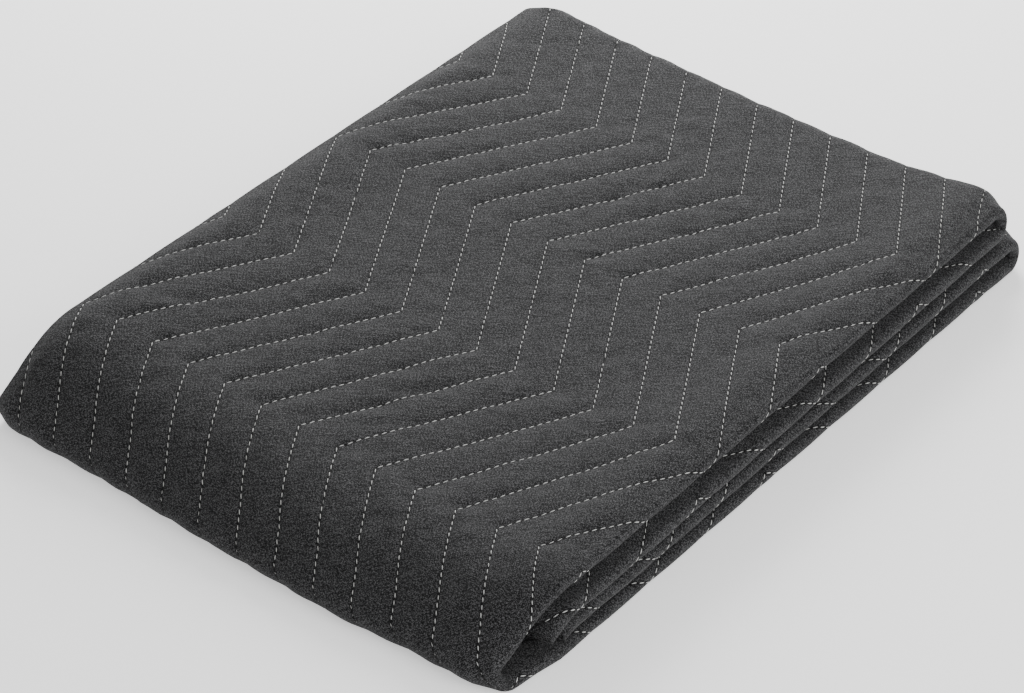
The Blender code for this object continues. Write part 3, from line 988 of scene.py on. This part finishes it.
# The stage: the places and sizes of its two soft lights, half the floor's side, and the place
# on the blanket that the camera looks at
TOP_LIGHT_PLACE, TOP_LIGHT_SIZE = (-0.85, 1.1, 0.72), 0.8
SIDE_LIGHT_PLACE, SIDE_LIGHT_SIZE = (1.35, -0.05, 0.8), 1.0
FLOOR_REACH = 6.0
CAMERA_TARGET = (196.1 * MM - MIDDLE_X, 123.8 * MM - MIDDLE_Y, HEIGHT)


def add_light(name, place, size, power):
    """A square soft light that shines at the origin."""
    light = bpy.data.lights.new(name, "AREA")
    light.size = size
    light.energy = power
    lamp = bpy.data.objects.new(name, light)
    bpy.context.scene.collection.objects.link(lamp)
    lamp.location = place
    lamp.rotation_euler = (-Vector(place)).to_track_quat("-Z", "Y").to_euler()


def add_camera(context, stage):
    """The camera at the photograph's viewing angle."""
    azimuth, elevation = stage.camera_azimuth, stage.camera_elevation
    back = Vector((
        math.sin(azimuth) * math.cos(elevation),
        -math.cos(azimuth) * math.cos(elevation),
        math.sin(elevation),
    ))
    data = bpy.data.cameras.new("camera")
    data.sensor_width = 36.0
    data.lens = stage.camera_lens
    camera = bpy.data.objects.new("camera", data)
    context.scene.collection.objects.link(camera)
    camera.location = Vector(CAMERA_TARGET) + back * stage.camera_distance
    camera.rotation_euler = back.to_track_quat("Z", "Y").to_euler()
    context.scene.camera = camera


# ---- operators ----


class MESH_OT_blanket_cloth(bpy.types.Operator):
    """Make the folded, quilted sheet"""

    bl_idname = "mesh.blanket_cloth"
    bl_label = "Blanket cloth"

    def execute(self, context):
        quilt = context.scene.blanket_quilt
        mesh = flat_sheet()
        store_flat_map(mesh)
        thick = [thickness(v.co.x, v.co.y, quilt) for v in mesh.verts]
        for vert in mesh.verts:
            s, t = vert.co.xy
            vert.co = fold(s, t, relief(s, t, quilt))
        cloth = add_piece("blanket_cloth", mesh, cloth_material(quilt))
        group = cloth.vertex_groups.new(name="thickness")
        thin = quilt.seam_thickness
        for index, value in enumerate(thick):
            group.add([index], (value - thin) / (LOFT - thin), "REPLACE")
        solidify = cloth.modifiers.new("thickness", "SOLIDIFY")
        solidify.thickness = LOFT
        solidify.offset = 0.0
        solidify.vertex_group = group.name
        solidify.thickness_vertex_group = thin / LOFT
        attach(cloth, "root")
        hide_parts(CAD_NODE)
        return {"FINISHED"}


class MESH_OT_blanket_stitches(bpy.types.Operator):
    """Sew the zigzag seams on the outside of the folded sheet"""

    bl_idname = "mesh.blanket_stitches"
    bl_label = "Blanket stitches"

    def execute(self, context):
        sewing = context.scene.blanket_sewing
        mesh = stitches(context.scene.blanket_quilt, sewing)
        thread = add_piece("zigzag_stitches", mesh, thread_material(sewing))
        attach(thread, "root")
        return {"FINISHED"}


class SCENE_OT_blanket_stage(bpy.types.Operator):
    """Set up the floor, the lights and the camera"""

    bl_idname = "scene.blanket_stage"
    bl_label = "Stage"

    def execute(self, context):
        stage = context.scene.blanket_stage
        mesh = bmesh.new()
        bmesh.ops.create_grid(mesh, x_segments=2, y_segments=2, size=FLOOR_REACH)
        floor = add_piece("floor", mesh, floor_material(stage))
        world = bpy.data.worlds.new("studio")
        context.scene.world = world
        world.use_nodes = True
        sky = world.node_tree.nodes["Background"]
        sky.inputs["Strength"].default_value = stage.sky_light
        sky.inputs["Color"].default_value = (1, 1, 1, 1)
        add_light("top light", TOP_LIGHT_PLACE, TOP_LIGHT_SIZE, stage.top_light)
        add_light("side light", SIDE_LIGHT_PLACE, SIDE_LIGHT_SIZE, stage.side_light)
        add_camera(context, stage)
        return {"FINISHED"}


class VIEW3D_PT_blanket(bpy.types.Panel):
    """Lists the blanket's settings and operators"""

    bl_label = "Moving blanket"
    bl_space_type = "VIEW_3D"
    bl_region_type = "UI"
    bl_category = "Blanket"

    def draw(self, context):
        groups = (
            (context.scene.blanket_quilt, "mesh.blanket_cloth"),
            (context.scene.blanket_sewing, "mesh.blanket_stitches"),
            (context.scene.blanket_stage, "scene.blanket_stage"),
        )
        for settings, operator in groups:
            box = self.layout.box()
            for name in settings.bl_rna.properties.keys():
                if name not in ("rna_type", "name"):
                    box.prop(settings, name)
            box.operator(operator)


CLASSES = (
    QuiltSettings,
    SewingSettings,
    StageSettings,
    MESH_OT_blanket_cloth,
    MESH_OT_blanket_stitches,
    SCENE_OT_blanket_stage,
    VIEW3D_PT_blanket,
)


def register():
    for item in CLASSES:
        bpy.utils.register_class(item)
    bpy.types.Scene.blanket_quilt = PointerProperty(type=QuiltSettings)
    bpy.types.Scene.blanket_sewing = PointerProperty(type=SewingSettings)
    bpy.types.Scene.blanket_stage = PointerProperty(type=StageSettings)


def unregister():
    del bpy.types.Scene.blanket_stage
    del bpy.types.Scene.blanket_sewing
    del bpy.types.Scene.blanket_quilt
    for item in reversed(CLASSES):
        bpy.utils.unregister_class(item)


def main():
    register()
    bpy.ops.scene.blanket_stage()
    bpy.ops.mesh.blanket_cloth()
    bpy.ops.mesh.blanket_stitches()


if __name__ == "__main__":
    main()
